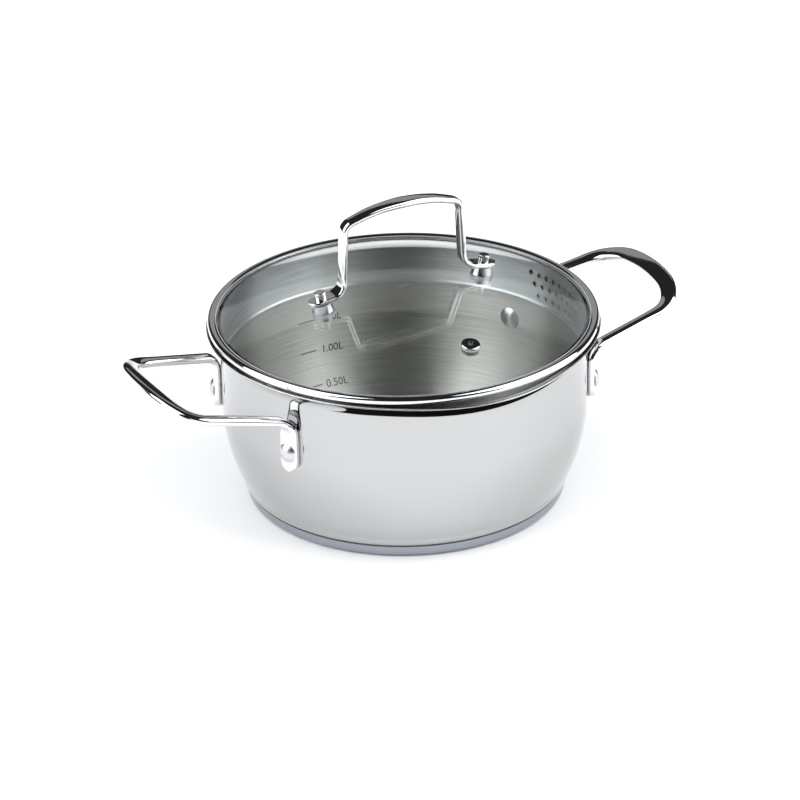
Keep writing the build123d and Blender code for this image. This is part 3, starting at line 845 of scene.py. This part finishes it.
def around(azimuth, elevation, distance, height=0.0):
    """Point seen from the pot at this azimuth from the camera's side, 0 being the camera itself."""
    turn = math.radians(CAMERA_AZIMUTH + azimuth)
    rise = math.radians(elevation)
    return Vector((math.sin(turn) * math.cos(rise), -math.cos(turn) * math.cos(rise),
                   math.sin(rise))) * distance + Vector((0, 0, height))


def softbox(name, azimuth, elevation, distance, width, height, watts, colour=(1, 1, 1)):
    """Rectangular lamp facing the pot."""
    lamp = bpy.data.lights.new(name, "AREA")
    lamp.shape = "RECTANGLE"
    lamp.size, lamp.size_y = width, height
    lamp.energy = watts
    lamp.color = colour
    holder = bpy.data.objects.new(name, lamp)
    bpy.context.scene.collection.objects.link(holder)
    holder.location = around(azimuth, elevation, distance, LAMP_AIM)
    aim = Vector((0, 0, LAMP_AIM)) - holder.location
    holder.rotation_euler = aim.to_track_quat("-Z", "Y").to_euler()
    return holder


def build_painted_rim_reflection():
    """Black strip tucked under the front of the flare, which only reflections see: a painted reflection that
    makes the dark band under the rim.
    """
    reflection_paint, _, _, shader = new_material("painted_reflection_black")
    # near-black: the painted reflection under the flare
    shader.inputs["Base Color"].default_value = (0.01, 0.01, 0.01, 1)
    shader.inputs["Roughness"].default_value = 1.0
    bm = bmesh.new()
    rings = []
    first, last = REFLECTION_STRIP_ANGLES
    for width, share in REFLECTION_STRIP_EDGES:
        ring = []
        for step in range(REFLECTION_STRIP_STEPS + 1):
            angle = math.radians(first + (last - first) * step / REFLECTION_STRIP_STEPS)
            place = step / REFLECTION_STRIP_STEPS
            taper = smooth_step(REFLECTION_STRIP_TAPER * place) * smooth_step(REFLECTION_STRIP_TAPER * (1 - place))
            reach = POT_RADIUS + REFLECTION_STRIP_GAP + width * taper + SPOUT_REACH * share * swell(angle)
            height = REFLECTION_STRIP_HEIGHT - REFLECTION_STRIP_SPOUT_DROP * swell(angle)
            ring.append(bm.verts.new((reach * math.cos(angle), reach * math.sin(angle), height)))
        rings.append(ring)
    for step in range(REFLECTION_STRIP_STEPS):
        bm.faces.new((rings[0][step], rings[0][step + 1], rings[1][step + 1], rings[1][step]))
    reflection_strip = make_object("painted_rim_reflection", bm, [reflection_paint])
    for ray in ("camera", "diffuse", "transmission", "shadow", "volume_scatter"):
        setattr(reflection_strip, f"visible_{ray}", False)


def build_studio():
    """Lamps and the world's light."""
    softbox("left_softbox", azimuth=-73, elevation=36, distance=2.4, width=2.7, height=2.8, watts=62,
            colour=(0.96, 0.98, 1))
    softbox("right_softbox", azimuth=85, elevation=36, distance=2.4, width=2.7, height=2.8, watts=66,
            colour=(0.97, 0.985, 1))
    softbox("back_softbox", azimuth=180, elevation=28, distance=1.9, width=1.6, height=0.7, watts=1.0)
    world = bpy.data.worlds.new("studio")
    bpy.context.scene.world = world
    world.use_nodes = True
    nodes, links = world.node_tree.nodes, world.node_tree.links
    nodes.clear()
    room = nodes.new("ShaderNodeBackground")
    room.inputs[0].default_value = (0.02, 0.02, 0.022, 1)
    backdrop = nodes.new("ShaderNodeBackground")
    backdrop.inputs[0].default_value = (1, 1, 1, 1)
    paths = nodes.new("ShaderNodeLightPath")
    mix = nodes.new("ShaderNodeMixShader")
    output = nodes.new("ShaderNodeOutputWorld")
    fill = nodes.new("ShaderNodeBackground")
    fill.inputs[0].default_value = (0.70, 0.70, 0.70, 1)
    filled = nodes.new("ShaderNodeMixShader")
    links.new(paths.outputs["Is Diffuse Ray"], filled.inputs[0])
    links.new(room.outputs[0], filled.inputs[1])
    links.new(fill.outputs[0], filled.inputs[2])
    links.new(paths.outputs["Is Camera Ray"], mix.inputs[0])
    links.new(filled.outputs[0], mix.inputs[1])
    links.new(backdrop.outputs[0], mix.inputs[2])
    links.new(mix.outputs[0], output.inputs[0])


def build_camera():
    """Long lens at the photograph's angle, leaning as it does."""
    lens = bpy.data.cameras.new("camera")
    lens.lens = CAMERA_LENS
    lens.sensor_width = 36.0
    lens.clip_start = 0.1
    holder = bpy.data.objects.new("camera", lens)
    bpy.context.scene.collection.objects.link(holder)
    holder.location = around(0, CAMERA_ELEVATION, CAMERA_DISTANCE, AIM_HEIGHT)
    turn = math.radians(CAMERA_AZIMUTH)
    rightwards = Vector((math.cos(turn), math.sin(turn), 0))
    target = Vector((0, 0, PICTURE_MIDDLE)) - rightwards * PICTURE_LEFT
    aimed = (target - holder.location).to_track_quat("-Z", "Y")
    tilted = aimed @ Matrix.Rotation(math.radians(-CAMERA_ROLL), 3, "Z").to_quaternion()
    holder.rotation_euler = tilted.to_euler()
    bpy.context.scene.camera = holder


build_floor()
build_painted_rim_reflection()
build_studio()
build_camera()
bpy.context.scene.view_settings.view_transform = "Standard"
